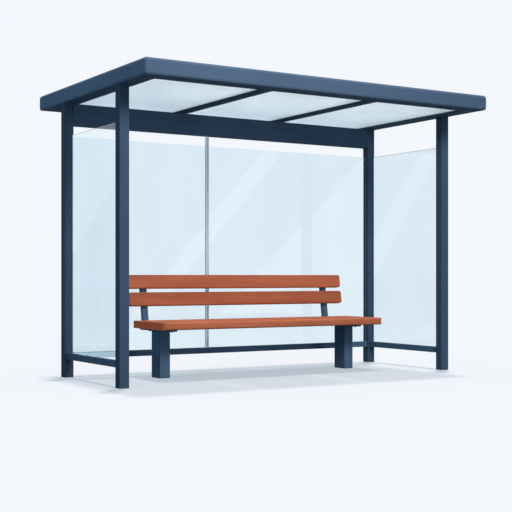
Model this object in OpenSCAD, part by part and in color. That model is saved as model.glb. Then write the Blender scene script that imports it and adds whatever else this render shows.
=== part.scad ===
// Open-fronted bus shelter: square posts, a flat roof ring with translucent panels,
// glass walls on three sides and a free-standing timber bench.
// Millimetres, +Z up, +X along the shelter, +Y from the open front to the back wall.
// The origin is on the ground below the middle of the roof.

/* [Posts] */
// Width of a square post
post_size = 80; // [60:1:110]
// Wall of a post and of its glazing grooves
post_wall = 4; // [3:0.5:6]
// Rounding of a post's long edges
post_edge_r = 6; // [4:0.5:10]
// Plate that closes a post or a pedestal at the ground
foot_t = 8; // [5:1:15]
// Distance between post centres along the shelter
post_span_x = 3130; // [2600:10:4200]
// Distance between post centres from front to back
post_span_y = 1070; // [900:10:1500]

/* [Roof] */
// Height of the roof's underside over the ground
roof_clear_h = 2258; // [2180:1:2600]
// How far the roof reaches past the outer faces of the posts at each end
roof_side_overhang = 20; // [20:1:80]
// How far the roof reaches past the front posts
roof_front_overhang = 465; // [200:5:700]
// How far the roof reaches past the back posts
roof_back_overhang = 445; // [200:5:600]
// Height of the roof ring
fascia_h = 127; // [90:1:180]
// Width of the roof ring's underside
fascia_w = 146; // [136:1:220]
// Width of the ring's tall outer box
fascia_box_w = 105; // [80:1:120]
// Wall of the ring and of the rafters
fascia_wall = 3; // [2:0.5:5]
// Rounding of the ring's lower outer edge
fascia_edge_r = 20; // [8:1:20]
// Rounding of the ring's upper outer edge
fascia_top_r = 28; // [22:1:36]
// Rounding of the ring's corners seen from above
fascia_corner_r = 16; // [10:1:30]
// Height of the ledge that carries the roof panels
ledge_h = 18; // [14:1:40]
// Width of a rafter's foot, level with the ring's underside
rafter_w = 82; // [74:1:140]
// Width of the rib on top of a rafter's foot
rafter_rib_w = 32; // [24:1:50]
// Height of that rib
rafter_rib_h = 50; // [40:1:64]
// Thickness of a roof panel
panel_t = 10; // [6:1:16]
// Room for movement around a roof panel
panel_gap = 4; // [2:0.5:10]
// Width of the bead that holds a panel down
bead_w = 22; // [16:1:30]
// Height of that bead
bead_h = 14; // [8:1:20]

/* [Back header] */
// Height of the header under the rafters
header_h = 178; // [120:1:200]
// Wall of the header
header_wall = 4; // [3:0.5:6]
// Height of the shadow groove along the header
header_groove_h = 6; // [3:0.5:10]
// Depth of that groove
header_groove_d = 2; // [1:0.5:2.5]
// Height of the groove over the header's underside
header_groove_up = 118; // [60:1:150]

/* [Glass walls] */
// Clear height under the bottom rails
rail_clear_h = 150; // [80:5:250]
// Height of a bottom rail
rail_h = 50; // [40:1:80]
// Depth of a bottom rail
rail_d = 50; // [40:1:80]
// Wall of a bottom rail
rail_wall = 3; // [2:0.5:5]
// Gap between the upper edge of the glass and the header
glass_gap = 90; // [40:5:250]
// Thickness of the glass
glass_t = 10; // [8:0.5:12]
// Width of the glazing groove in posts, rails and bar
groove_w = 14; // [13:0.5:18]
// Depth of the glazing groove
groove_d = 10; // [8:0.5:14]
// How far a gasket's lip stands out of its groove
gasket_lip = 2; // [1:0.5:4]
// Web between the two grooves of the glazing bar
bar_web = 4; // [3:0.5:8]
// Depth of the glazing bar
bar_d = 30; // [26:1:50]
// Place of the glazing bar, from the left end of the back wall
bar_place_share = 0.42; // [0.3:0.01:0.7]

/* [Bench seat] */
// Length of the seat and of the back slats
bench_l = 2180; // [1900:10:2400]
// Depth of the seat
seat_d = 575; // [420:5:620]
// Thickness of the seat
seat_t = 60; // [40:1:75]
// Height of the seat's top over the ground
seat_h = 465; // [420:5:500]
// Rounding of the seat's long edges
seat_edge_r = 14; // [6:1:18]
// Rounding of the seat's corners seen from above
seat_corner_r = 32; // [10:1:40]
// Gap between the bench's back and the plane of the back posts' front faces
bench_wall_gap = 43; // [20:1:120]

/* [Bench stand] */
// Width of a pedestal along the bench
pedestal_w = 92; // [70:1:120]
// Depth of a pedestal
pedestal_d = 160; // [120:1:200]
// Wall of a pedestal
pedestal_wall = 4; // [3:0.5:6]
// Rounding of a pedestal's upright edges
pedestal_edge_r = 6; // [4:0.5:10]
// Distance between pedestal centres
pedestal_span = 1860; // [1500:10:1950]
// Distance from the seat's front edge to a pedestal's front face
pedestal_setback = 290; // [130:5:320]
// Thickness of the arm between pedestal and seat
arm_t = 22; // [16:1:30]
// How far the arm reaches in front of its pedestal
arm_reach = 125; // [60:5:125]
// Rounding of the arm's lower ends
arm_end_r = 15; // [6:1:15]

/* [Bench back] */
// Lean of the back from upright, in degrees
back_lean = 9; // [4:0.5:14]
// Gap between the seat's rear edge and the plane of the back
back_gap = 21; // [15:1:40]
// Height of a back slat
slat_h = 116; // [90:1:130]
// Thickness of a back slat
slat_t = 50; // [35:1:55]
// Gap between the two back slats
slat_gap = 33; // [20:1:50]
// Gap between the seat and the lower slat, along the back
slat_lift = 122; // [90:1:150]
// Rounding of a slat's long edges
slat_edge_r = 12; // [5:1:14]
// Rounding of a slat's corners seen from the front
slat_corner_r = 22; // [8:1:30]
// Width of a back support along the bench
support_w = 55; // [40:1:70]
// Depth of a back support
support_d = 35; // [25:1:45]
// Wall and cap of a back support
support_wall = 3; // [2:0.5:5]
// Rounding of a back support's edges
support_edge_r = 5; // [3:0.5:8]
// How far a support ends below the top of the upper slat
support_drop = 20; // [10:1:40]

/* [Hidden] */
$fn = 48;
// Extra length that carries a cut clear of the surface it goes through
overrun = 20;

// Roof outline and the post lines below it
roof_l = post_span_x + post_size + 2 * roof_side_overhang;
roof_d = post_span_y + post_size + roof_front_overhang + roof_back_overhang;
post_x = post_span_x / 2;
front_post_y = -roof_d / 2 + roof_front_overhang + post_size / 2;
back_post_y = front_post_y + post_span_y;
wall_mid_y = front_post_y + post_span_y / 2;

// Clear lengths between post faces
clear_x = post_span_x - post_size;
clear_y = post_span_y - post_size;

// Roof bays: equal openings between the ring and the rafters
bay_w = (roof_l - 2 * fascia_w - 2 * rafter_w) / 3;
rafter_x = (bay_w + rafter_w) / 2;
panel_z = roof_clear_h + ledge_h;
panel_d = roof_d - 2 * (fascia_box_w + panel_gap);
panel_inner_x = rafter_x - rafter_rib_w / 2 - panel_gap;
panel_outer_x = rafter_x + rafter_rib_w / 2 + panel_gap;
panel_end_x = roof_l / 2 - fascia_box_w - panel_gap;

// Glazing: the pane stands in its gasket, and the gasket fills the groove
header_z = roof_clear_h - header_h;
rail_top = rail_clear_h + rail_h;
glass_top = header_z - glass_gap;
gasket_t = (groove_w - glass_t) / 2;
pane_bite = groove_d - gasket_t;
pane_h = glass_top - rail_top + pane_bite;
bar_w = 2 * groove_d + bar_web;
bar_x = clear_x * (bar_place_share - 1 / 2);
back_left_clear = bar_x - bar_w / 2 + clear_x / 2;
back_right_clear = clear_x / 2 - bar_x - bar_w / 2;

// Bench: the back leans from a line behind the seat and stays clear of the back wall,
// and the seat lies on the arms in front of that line
back_top = slat_lift + 2 * slat_h + slat_gap;
support_top = back_top - support_drop;
back_reach = (slat_t + support_d) * cos(back_lean) + support_top * sin(back_lean);
back_y = back_post_y - post_size / 2 - bench_wall_gap - back_reach;
seat_back_y = back_y - back_gap;
seat_front_y = seat_back_y - seat_d;
arm_top = seat_h - seat_t;
arm_z = arm_top - arm_t;
pedestal_x = pedestal_span / 2;
pedestal_y = seat_front_y + pedestal_setback + pedestal_d / 2;
arm_front_y = pedestal_y - pedestal_d / 2 - arm_reach;
arm_back_y = back_y + (slat_t + support_d) / cos(back_lean) - seat_t * tan(back_lean);
support_foot = seat_t + slat_t + support_d;

// Colours of the finishes
frame_navy = [0.14, 0.22, 0.32];
bench_navy = [0.12, 0.19, 0.27];
glass_blue = [0.80, 0.90, 0.95, 0.45];
panel_opal = [0.80, 0.87, 0.91, 0.8];
bar_grey = [0.56, 0.64, 0.71];
gasket_grey = [0.44, 0.52, 0.57];
timber_brown = [0.68, 0.37, 0.25];

// Shared shapes

// Rectangle centred on the origin with round corners
module rounded_rect(w, d, r) {
    square([w - 2 * r, d], center = true);
    square([w, d - 2 * r], center = true);
    for (x = [-1, 1], y = [-1, 1])
        translate([x * (w / 2 - r), y * (d / 2 - r)])
            circle(r);
}

// Section drawn in Y and Z, drawn out along X
module along_x(length) {
    rotate([90, 0, 90])
        linear_extrude(length, center = true)
            children();
}

// Section drawn in X and Z, drawn out along Y
module along_y(length) {
    rotate([90, 0, 0])
        linear_extrude(length, center = true)
            children();
}

// Posts

// Strip of a post's section that reaches in from the face towards the angle given
module post_face_strip(angle, depth, width) {
    rotate(angle)
        translate([post_size / 2 - depth, -width / 2])
            square([depth + overrun, width]);
}

// Square tube with a glazing groove in each face that holds glass.
// side is -1 left or 1 right, row is -1 front or 1 back.
module post(side, row) {
    glazed = row < 0 ? [90] : [270, side < 0 ? 0 : 180];
    groove_z = rail_top - groove_d;
    color(frame_navy)
        translate([side * post_x, row < 0 ? front_post_y : back_post_y, 0])
            difference() {
                linear_extrude(roof_clear_h)
                    rounded_rect(post_size, post_size, post_edge_r);
                translate([0, 0, foot_t])
                    linear_extrude(roof_clear_h)
                        difference() {
                            square(post_size - 2 * post_wall, center = true);
                            for (angle = glazed)
                                post_face_strip(angle, groove_d + post_wall, groove_w + 2 * post_wall);
                        }
                translate([0, 0, groove_z])
                    linear_extrude(glass_top - groove_z)
                        for (angle = glazed)
                            post_face_strip(angle, groove_d, groove_w);
            }
}

// Header and bottom rails

// Box beam between the back posts, with a shadow groove along both faces
module header_back() {
    inner = 2 * header_wall;
    color(frame_navy)
        translate([0, back_post_y, header_z])
            along_x(clear_x)
                difference() {
                    translate([-post_size / 2, 0])
                        square([post_size, header_h]);
                    translate([header_wall - post_size / 2, header_wall])
                        square([post_size - inner, header_h - inner]);
                    for (face = [-1, 1])
                        translate([face * post_size / 2, header_groove_up])
                            square([2 * header_groove_d, header_groove_h], center = true);
                }
}

// Section of a bottom rail, with the glazing groove along its top
module rail_section() {
    difference() {
        translate([-rail_d / 2, 0])
            square([rail_d, rail_h]);
        difference() {
            translate([rail_wall - rail_d / 2, rail_wall])
                square([rail_d - 2 * rail_wall, rail_h - 2 * rail_wall]);
            translate([-groove_w / 2 - rail_wall, rail_h - groove_d - rail_wall])
                square([groove_w + 2 * rail_wall, groove_d + rail_wall]);
        }
        translate([-groove_w / 2, rail_h - groove_d])
            square([groove_w, groove_d + overrun]);
    }
}

module rail_end(side) {
    color(frame_navy)
        translate([side * post_x, wall_mid_y, rail_clear_h])
            along_y(clear_y)
                rail_section();
}

module rail_back() {
    color(frame_navy)
        translate([0, back_post_y, rail_clear_h])
            along_x(clear_x)
                rail_section();
}

// Roof

// Outline of the ring's tall box, shrunk by the inset given, with round outer edges
module fascia_box(inset) {
    flat_top = fascia_h - fascia_top_r;
    translate([fascia_top_r, inset])
        square([fascia_box_w - fascia_top_r - inset, fascia_h - 2 * inset]);
    translate([fascia_edge_r, inset])
        square([fascia_top_r - fascia_edge_r, fascia_edge_r - inset]);
    translate([inset, fascia_edge_r])
        square([fascia_top_r - inset, flat_top - fascia_edge_r]);
    translate([fascia_edge_r, fascia_edge_r])
        circle(fascia_edge_r - inset);
    translate([fascia_top_r, flat_top])
        circle(fascia_top_r - inset);
}

// Section of the roof ring: a box with a rounded nose, and inside it the ledge that the
// panels lie on. The first axis runs inwards from the roof's edge.
module fascia_outline() {
    fascia_box(0);
    translate([fascia_edge_r, 0])
        square([fascia_w - fascia_edge_r, ledge_h]);
}

// Hollows of that section, with a web between the box and the ledge
module fascia_hollows() {
    fascia_box(fascia_wall);
    translate([fascia_box_w, fascia_wall])
        square([fascia_w - fascia_box_w - fascia_wall, ledge_h - 2 * fascia_wall]);
}

// Part of a section of the ring between two distances from the roof's edge
module section_part(from, to) {
    intersection() {
        children();
        translate([from, 0])
            square([to - from, fascia_h]);
    }
}

// A section drawn out along a front side of the length given. Its outer part stops at the
// centres of the round corners and is swept about them.
module ring_side(length, depth) {
    translate([0, -depth / 2, 0]) {
        along_x(length)
            section_part(fascia_corner_r, fascia_w)
                children();
        along_x(length - 2 * fascia_corner_r)
            section_part(0, fascia_corner_r)
                children();
        for (end = [0, 1])
            mirror([end, 0, 0])
                translate([length / 2 - fascia_corner_r, fascia_corner_r, 0])
                    rotate(-90)
                        rotate_extrude(angle = 90)
                            translate([fascia_corner_r, 0])
                                mirror([1, 0])
                                    section_part(0, fascia_corner_r)
                                        children();
    }
}

// Plan of one side of the ring between its two mitres.
// half_l and half_d are half the roof along that side and across it.
module mitre_plan(half_l, half_d) {
    polygon([
        [-half_l, -half_d],
        [half_l, -half_d],
        [half_l - fascia_w, fascia_w - half_d],
        [fascia_w - half_l, fascia_w - half_d]
    ]);
}

// One hollow side of the ring, drawn as a front side of the length given
module fascia_side(length, depth) {
    color(frame_navy)
        translate([0, 0, roof_clear_h])
            difference() {
                intersection() {
                    ring_side(length, depth)
                        fascia_outline();
                    linear_extrude(fascia_h)
                        mitre_plan(length / 2, depth / 2);
                }
                ring_side(length, depth)
                    fascia_hollows();
            }
}

// Section of a rafter's foot or rib, with its cavity
module hollow_bar_section(width, height) {
    difference() {
        translate([-width / 2, 0])
            square([width, height]);
        translate([fascia_wall - width / 2, fascia_wall])
            square([width - 2 * fascia_wall, height - 2 * fascia_wall]);
    }
}

// Rafter: its foot lies level with the ring's underside between the ledges,
// and its rib runs on over the ledges to the ring's box
module rafter(side) {
    color(frame_navy)
        translate([side * rafter_x, 0, roof_clear_h]) {
            along_y(roof_d - 2 * fascia_w)
                hollow_bar_section(rafter_w, ledge_h);
            translate([0, 0, ledge_h])
                along_y(roof_d - 2 * fascia_box_w)
                    hollow_bar_section(rafter_rib_w, rafter_rib_h);
        }
}

// Panel between the two X places given, lying on the ledges and the rafter feet
module roof_panel(from_x, to_x) {
    color(panel_opal)
        translate([from_x, -panel_d / 2, panel_z])
            cube([to_x - from_x, panel_d, panel_t]);
}

// Bead on the edges of that panel, tight against the ring's box and the rafter ribs
module roof_bead(from_x, to_x) {
    bead_l = to_x - from_x + 2 * panel_gap;
    bead_d = panel_d + 2 * panel_gap;
    color(frame_navy)
        translate([(from_x + to_x) / 2, 0, panel_z + panel_t])
            linear_extrude(bead_h)
                difference() {
                    square([bead_l, bead_d], center = true);
                    square([bead_l - 2 * bead_w, bead_d - 2 * bead_w], center = true);
                }
}

// Glass walls

// Pane of the length given, in the X and Z plane, with its lower edge at zero
module pane(length) {
    translate([-length / 2, -glass_t / 2, 0])
        cube([length, glass_t, pane_h]);
}

// Gasket round the two sides and the foot of that pane
module pane_gasket(length) {
    cover = pane_bite + gasket_lip;
    difference() {
        translate([-length / 2 - gasket_t, -groove_w / 2, -gasket_t])
            cube([length + 2 * gasket_t, groove_w, pane_h + gasket_t]);
        translate([cover - length / 2, -groove_w, cover])
            cube([length - 2 * cover, 2 * groove_w, pane_h + overrun]);
        translate([-length / 2, -glass_t / 2, 0])
            cube([length, glass_t, pane_h + overrun]);
    }
}

// Moves a pane or its gasket to an end wall
module at_end_wall(side) {
    translate([side * post_x, wall_mid_y, rail_top - pane_bite])
        rotate(90)
            children();
}

// Moves a pane or its gasket to the back wall, centred at the X place given
module at_back_wall(mid_x) {
    translate([mid_x, back_post_y, rail_top - pane_bite])
        children();
}

end_pane_l = clear_y + 2 * pane_bite;
back_left_l = back_left_clear + 2 * pane_bite;
back_right_l = back_right_clear + 2 * pane_bite;
back_left_x = (back_left_clear - clear_x) / 2;
back_right_x = (clear_x - back_right_clear) / 2;

module glass_end(side) {
    color(glass_blue)
        at_end_wall(side)
            pane(end_pane_l);
}

module gasket_end(side) {
    color(gasket_grey)
        at_end_wall(side)
            pane_gasket(end_pane_l);
}

module glass_back(mid_x, length) {
    color(glass_blue)
        at_back_wall(mid_x)
            pane(length);
}

module gasket_back(mid_x, length) {
    color(gasket_grey)
        at_back_wall(mid_x)
            pane_gasket(length);
}

// Slim bar between the two back panes, grooved on both sides
module glazing_bar() {
    color(bar_grey)
        translate([bar_x, back_post_y, rail_top])
            linear_extrude(header_z - rail_top)
                difference() {
                    square([bar_w, bar_d], center = true);
                    for (side = [-1, 1])
                        translate([side * bar_w / 2, 0])
                            square([2 * groove_d, groove_w], center = true);
                }
}

// Bench

// Box pedestal on the ground, closed at the foot and covered by its arm
module bench_pedestal(side) {
    color(bench_navy)
        translate([side * pedestal_x, pedestal_y, 0])
            difference() {
                linear_extrude(arm_z)
                    rounded_rect(pedestal_w, pedestal_d, pedestal_edge_r);
                translate([0, 0, foot_t])
                    linear_extrude(arm_z)
                        square([pedestal_w - 2 * pedestal_wall, pedestal_d - 2 * pedestal_wall], center = true);
            }
}

// Flat arm under the seat, with round lower ends, that also carries the back support
module bench_arm(side) {
    length = arm_back_y - arm_front_y;
    color(bench_navy)
        translate([side * pedestal_x, arm_front_y, arm_z])
            along_x(pedestal_w)
                intersection() {
                    square([length, arm_t]);
                    union() {
                        translate([0, arm_end_r])
                            square([length, arm_t]);
                        translate([arm_end_r, 0])
                            square([length - 2 * arm_end_r, arm_t]);
                        for (y = [arm_end_r, length - arm_end_r])
                            translate([y, arm_end_r])
                                circle(arm_end_r);
                    }
                }
}

// Moves what is drawn upright behind the seat into the lean of the back
module leaning() {
    translate([0, back_y, seat_h])
        rotate([-back_lean, 0, 0])
            children();
}

// Leaning tube on the rear of the arm, capped at the top
module bench_support(side) {
    length = support_foot + support_top;
    color(bench_navy)
        difference() {
            leaning()
                translate([side * pedestal_x, slat_t + support_d / 2, -support_foot])
                    difference() {
                        linear_extrude(length)
                            rounded_rect(support_w, support_d, support_edge_r);
                        translate([0, 0, -support_wall])
                            linear_extrude(length)
                                square([support_w - 2 * support_wall, support_d - 2 * support_wall], center = true);
                    }
            translate([side * pedestal_x - support_w, seat_back_y - seat_d, arm_top - seat_h])
                cube([2 * support_w, 2 * seat_d, seat_h]);
        }
}

module bench_seat() {
    color(timber_brown)
        intersection() {
            translate([0, (seat_front_y + seat_back_y) / 2, arm_top + seat_t / 2])
                along_x(bench_l)
                    rounded_rect(seat_d, seat_t, seat_edge_r);
            translate([0, (seat_front_y + seat_back_y) / 2, arm_top])
                linear_extrude(seat_t)
                    rounded_rect(bench_l, seat_d, seat_corner_r);
        }
}

// Back slat whose lower edge is at the height given, measured along the back
module bench_slat(low) {
    color(timber_brown)
        leaning()
            translate([0, slat_t / 2, low + slat_h / 2])
                intersection() {
                    along_x(bench_l)
                        rounded_rect(slat_t, slat_h, slat_edge_r);
                    along_y(slat_t)
                        rounded_rect(bench_l, slat_h, slat_corner_r);
                }
}

post(-1, -1);  // post_front_left
post(1, -1);  // post_front_right
post(-1, 1);  // post_back_left
post(1, 1);  // post_back_right
header_back();
rail_end(-1);  // rail_left
rail_end(1);  // rail_right
rail_back();
fascia_side(roof_l, roof_d);  // fascia_front
rotate(180) fascia_side(roof_l, roof_d);  // fascia_back
rotate(-90) fascia_side(roof_d, roof_l);  // fascia_left
rotate(90) fascia_side(roof_d, roof_l);  // fascia_right
rafter(-1);  // rafter_left
rafter(1);  // rafter_right
roof_panel(-panel_end_x, -panel_outer_x);  // roof_panel_left
roof_panel(-panel_inner_x, panel_inner_x);  // roof_panel_middle
roof_panel(panel_outer_x, panel_end_x);  // roof_panel_right
roof_bead(-panel_end_x, -panel_outer_x);  // roof_bead_left
roof_bead(-panel_inner_x, panel_inner_x);  // roof_bead_middle
roof_bead(panel_outer_x, panel_end_x);  // roof_bead_right
glass_end(-1);  // glass_left_end
glass_end(1);  // glass_right_end
glass_back(back_left_x, back_left_l);  // glass_back_left
glass_back(back_right_x, back_right_l);  // glass_back_right
gasket_end(-1);  // gasket_left_end
gasket_end(1);  // gasket_right_end
gasket_back(back_left_x, back_left_l);  // gasket_back_left
gasket_back(back_right_x, back_right_l);  // gasket_back_right
glazing_bar();
bench_pedestal(-1);  // bench_pedestal_left
bench_pedestal(1);  // bench_pedestal_right
bench_arm(-1);  // bench_arm_left
bench_arm(1);  // bench_arm_right
bench_support(-1);  // bench_support_left
bench_support(1);  // bench_support_right
bench_seat();
bench_slat(slat_lift);  // bench_slat_lower
bench_slat(slat_lift + slat_h + slat_gap);  // bench_slat_upper
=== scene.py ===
"""Bus shelter: finishes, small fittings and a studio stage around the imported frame."""

import math

import bmesh
import bpy
from bpy.props import FloatProperty, FloatVectorProperty, PointerProperty
from mathutils import Matrix, Vector


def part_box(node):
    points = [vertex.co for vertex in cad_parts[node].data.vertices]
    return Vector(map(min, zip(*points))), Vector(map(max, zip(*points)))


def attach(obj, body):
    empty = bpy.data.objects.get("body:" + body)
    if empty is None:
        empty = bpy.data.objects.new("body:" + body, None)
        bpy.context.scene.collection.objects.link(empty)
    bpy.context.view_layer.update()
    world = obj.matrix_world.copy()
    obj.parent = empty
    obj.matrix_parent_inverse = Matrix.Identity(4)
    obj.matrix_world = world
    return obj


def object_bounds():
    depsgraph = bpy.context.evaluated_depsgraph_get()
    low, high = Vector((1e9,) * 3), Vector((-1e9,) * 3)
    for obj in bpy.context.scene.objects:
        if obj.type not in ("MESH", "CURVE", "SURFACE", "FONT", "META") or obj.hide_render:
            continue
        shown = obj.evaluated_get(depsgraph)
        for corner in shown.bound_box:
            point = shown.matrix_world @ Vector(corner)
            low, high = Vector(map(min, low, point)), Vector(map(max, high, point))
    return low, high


bl_info = {
    "name": "Bus Shelter",
    "version": (1, 0, 0),
    "blender": (4, 5, 0),
    "location": "View3D > Sidebar > Shelter",
    "description": "Finishes, small fittings and a studio stage for an open-fronted bus shelter",
    "category": "Object",
}

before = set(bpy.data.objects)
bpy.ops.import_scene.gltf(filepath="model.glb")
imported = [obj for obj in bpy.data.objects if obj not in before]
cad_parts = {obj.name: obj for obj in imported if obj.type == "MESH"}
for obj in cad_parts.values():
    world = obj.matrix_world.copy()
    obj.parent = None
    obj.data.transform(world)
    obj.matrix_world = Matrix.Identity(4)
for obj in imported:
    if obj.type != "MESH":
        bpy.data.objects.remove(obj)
CAD_LOW, CAD_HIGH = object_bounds()

SIDES = ("left", "right")
BAYS = ("left", "middle", "right")
POSTS = ("post_front_left", "post_front_right", "post_back_left", "post_back_right")
RAILS = ("rail_left", "rail_right", "rail_back")
FASCIAS = ("fascia_front", "fascia_back", "fascia_left", "fascia_right")
RAFTERS = ("rafter_left", "rafter_right")
BEADS = ("roof_bead_left", "roof_bead_middle", "roof_bead_right")
PANELS = ("roof_panel_left", "roof_panel_middle", "roof_panel_right")
LEFT_PANE = ("glass_left_end",)
RIGHT_PANE = ("glass_right_end",)
BACK_PANES = ("glass_back_left", "glass_back_right")
PANES = (*LEFT_PANE, *RIGHT_PANE, *BACK_PANES)
GASKETS = ("gasket_left_end", "gasket_right_end", "gasket_back_right")
BAR_GASKET = "gasket_back_left"
PEDESTALS = ("bench_pedestal_left", "bench_pedestal_right")
ARMS = ("bench_arm_left", "bench_arm_right")
SUPPORTS = ("bench_support_left", "bench_support_right")
SLATS = ("bench_slat_lower", "bench_slat_upper")
BENCH = (*PEDESTALS, *ARMS, *SUPPORTS, *SLATS, "bench_seat")
BODY = "root"

# Brightness of a piece's colour against the colour that its group shares: above 1 is painted light and
# below 1 is painted shade, lit and shaded copies of one paint, timber or rubber that stand for the light
# each piece gets
POST_SHADE_TONE = 0.92
HEADER_LIGHT_TONE = 1.4
RAIL_LIGHT_TONE = 1.55
LOWER_SLAT_SHADE_TONE = 0.88
BAR_GASKET_LIGHT_TONE = 1.6
# Boards of their own tone across the seat, and a width that takes in a whole slat
SEAT_BOARDS = 4
ONE_BOARD = 10.0
# Distances from a face where the rubbed edge of a tube starts and is full
RUB_START = 0.006
RUB_FULL = 0.001
# Distances from the roof ring's outline and from its joints where edge and line fade
RING_RUB = (0.004, 0.013)
MITRE_LINE = (0.0006, 0.0016)
# Height that street water splashes to, heights where the rougher film that lightens the glass's tint
# fades, and width of the darker strips along the front and back of a roof panel
SPLASH_HEIGHT = 0.20
GLASS_FILM = (0.2, 0.5)
PANEL_RIM_WIDTH = 0.10
# Fine line along the top edge of an end pane: its height, its blur and its share of the light
TOP_LINE = 0.008
TOP_LINE_BLUR = 0.001
TOP_LINE_SHARE = 0.74
# Tint of lamp light that crosses one face of an opal panel
OPAL_LAMP_TINT = (0.655, 0.665, 0.695, 1.0)
DARK_ZINC = (0.34, 0.36, 0.38, 1.0)
PALE_ZINC = (0.50, 0.52, 0.54, 1.0)

# Angles up to which the faces of small fittings look smooth
BOLT_SMOOTH = math.radians(40)
WELD_SMOOTH = math.radians(50)
# Shares of half an arm's width to its bolts, and of a side that its weld runs along
ARM_BOLTS = 0.6
TUBE_WELD = 0.86
HEADER_WELD = 0.9
# Collar of a bead screw, as shares of its head
COLLAR_RADIUS = 1.4
COLLAR_THICK = 0.3

# Area lamps: place, target, length and width
KEY_LAMP = ((-0.6, -5.0, 4.2), (-0.3, -1.0, 2.0), 2.2, 1.6)
FILL_LAMP = ((0.6, -6.5, 0.5), (-0.2, 0.3, 0.5), 1.6, 0.5)
SIDE_LAMP = ((-4.6, -0.2, 2.9), (-1.6, 0.0, 2.3), 1.2, 1.2)
LOW_SIDE_LAMP = ((-5.2, -0.6, 0.45), (-1.0, 0.1, 0.35), 1.0, 1.0)
FILL_SPREAD = math.radians(60)
# Where the even lamps shine from, towards the origin, and how wide they look
ORIGIN = (0, 0, 0)
OVERHEAD_FROM = Vector((0.85, 0.9, 8.0))
OVERHEAD_ANGLE = math.radians(4.4)
FAR_SIDES_FROM = (("behind", (0, 1, 0)), ("right", (1, 0, 0)))
FAR_SIDES_ANGLE = math.radians(12)
BAR_SIDE_FROM = (-1.0, -0.05, 0.15)
# Colours of the mirrored lamps
WARM = (1.0, 0.8, 0.6)
COOL = (0.74, 0.98, 1.0)
BLUE = (0.59, 0.86, 1.0)
# Lamps that only the glass mirrors: name, centre, turn from level in degrees, length, width,
# share of the brightness, colour, 1 to face the back or -1 to face the front, and the panes
STREAKS = (
    ("narrow_strip", (3.76, -6.0, 1.87), 48.3, 8.0, 0.27, 2.0, WARM, 1, BACK_PANES),
    ("wide_strip", (7.08, -6.0, -0.01), 42.9, 8.0, 5.0, 1.9, WARM, 1, BACK_PANES),
    ("right_strip", (-2.56, 5.0, 1.97), 123.4, 7.0, 0.31, 1.0, WARM, -1, RIGHT_PANE),
    ("left_card", (-3.3, 4.2, 1.4), 0.0, 6.0, 5.0, 0.355, COOL, -1, LEFT_PANE),
    ("left_glow", (-2.06, 4.0, 2.34), 123.1, 4.0, 3.0, 0.24, WARM, -1, LEFT_PANE),
    ("rail_veil", (-2.01, 1.0, 0.137), 0.0, 0.6, 0.053, 3.2, BLUE, -1, LEFT_PANE),
)
FLOOR_SIZE = 160.0
# Share of the ambient colour that the floor throws back at the shelter
FLOOR_BOUNCE = 0.5
# Camera: width of its sensor in millimetres, how far it sees, and the picture's side in pixels
SENSOR = 36.0
FAR_CLIP = 500.0
PICTURE = 512.0


def linear(red, green, blue):
    """A colour written in 0 to 255 steps, as the linear values that shaders take."""
    steps = []
    for step in (red, green, blue):
        share = step / 255.0
        if share <= 0.04045:
            steps.append(share / 12.92)
        else:
            steps.append(((share + 0.055) / 1.055) ** 2.4)
    return tuple(steps)


def shade(colour, share):
    """A colour made darker or lighter, with its alpha."""
    return (*[min(1.0, part * share) for part in colour[:3]], 1.0)


def tinted(colour, shares):
    """A colour with each part times its own share, with its alpha."""
    return (*[min(1.0, part * share) for part, share in zip(colour, shares)], 1.0)


# Settings that a user would change


class ShelterFinish(bpy.types.PropertyGroup):
    """Colours of the finishes"""

    paint: FloatVectorProperty(
        name="Frame paint", description="Satin powder coat on posts, rails and roof",
        subtype="COLOR", size=3, min=0.0, max=1.0, default=linear(72, 93, 117))
    # The roof ring's paint is a lighter copy of the frame paint: painted light on the ring
    ring_paint_lit: FloatVectorProperty(
        name="Roof paint", description="Powder coat on the roof ring, a little bleached by the sun",
        subtype="COLOR", size=3, min=0.0, max=1.0, default=linear(77, 95, 119))
    # The bench's paint is a lighter copy of the frame paint: painted light against the shade under the
    # seat
    bench_paint: FloatVectorProperty(
        name="Bench paint", description="Satin powder coat on the bench's metal",
        subtype="COLOR", size=3, min=0.0, max=1.0, default=linear(82, 107, 134))
    timber: FloatVectorProperty(
        name="Timber", description="Oiled hardwood of the seat and the back slats",
        subtype="COLOR", size=3, min=0.0, max=1.0, default=linear(193, 107, 76))
    glass: FloatVectorProperty(
        name="Glass", description="Tint of light that crosses one pane",
        subtype="COLOR", size=3, min=0.0, max=1.0, default=(0.80, 0.90, 0.942))
    end_glass: FloatVectorProperty(
        name="Left end glass", description="Tint of light that crosses the left end's clearer pane",
        subtype="COLOR", size=3, min=0.0, max=1.0, default=(0.88, 0.94, 0.96))
    glass_edge: FloatVectorProperty(
        name="Glass edge", description="Tint of the polished edge of a pane",
        subtype="COLOR", size=3, min=0.0, max=1.0, default=(0.30, 0.52, 0.58))
    opal: FloatVectorProperty(
        name="Roof panel", description="Tint of light that crosses an opal panel",
        subtype="COLOR", size=3, min=0.0, max=1.0, default=(0.855, 0.965, 0.995))
    anodised: FloatVectorProperty(
        name="Glazing bar", description="Satin anodised aluminium",
        subtype="COLOR", size=3, min=0.0, max=1.0, default=linear(196, 214, 226))
    rubber: FloatVectorProperty(
        name="Gasket", description="Grey glazing rubber",
        subtype="COLOR", size=3, min=0.0, max=1.0, default=linear(112, 132, 146))
    dust: FloatVectorProperty(
        name="Dust", description="Street dust on upper faces and at the feet",
        subtype="COLOR", size=3, min=0.0, max=1.0, default=linear(128, 138, 148))


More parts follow.
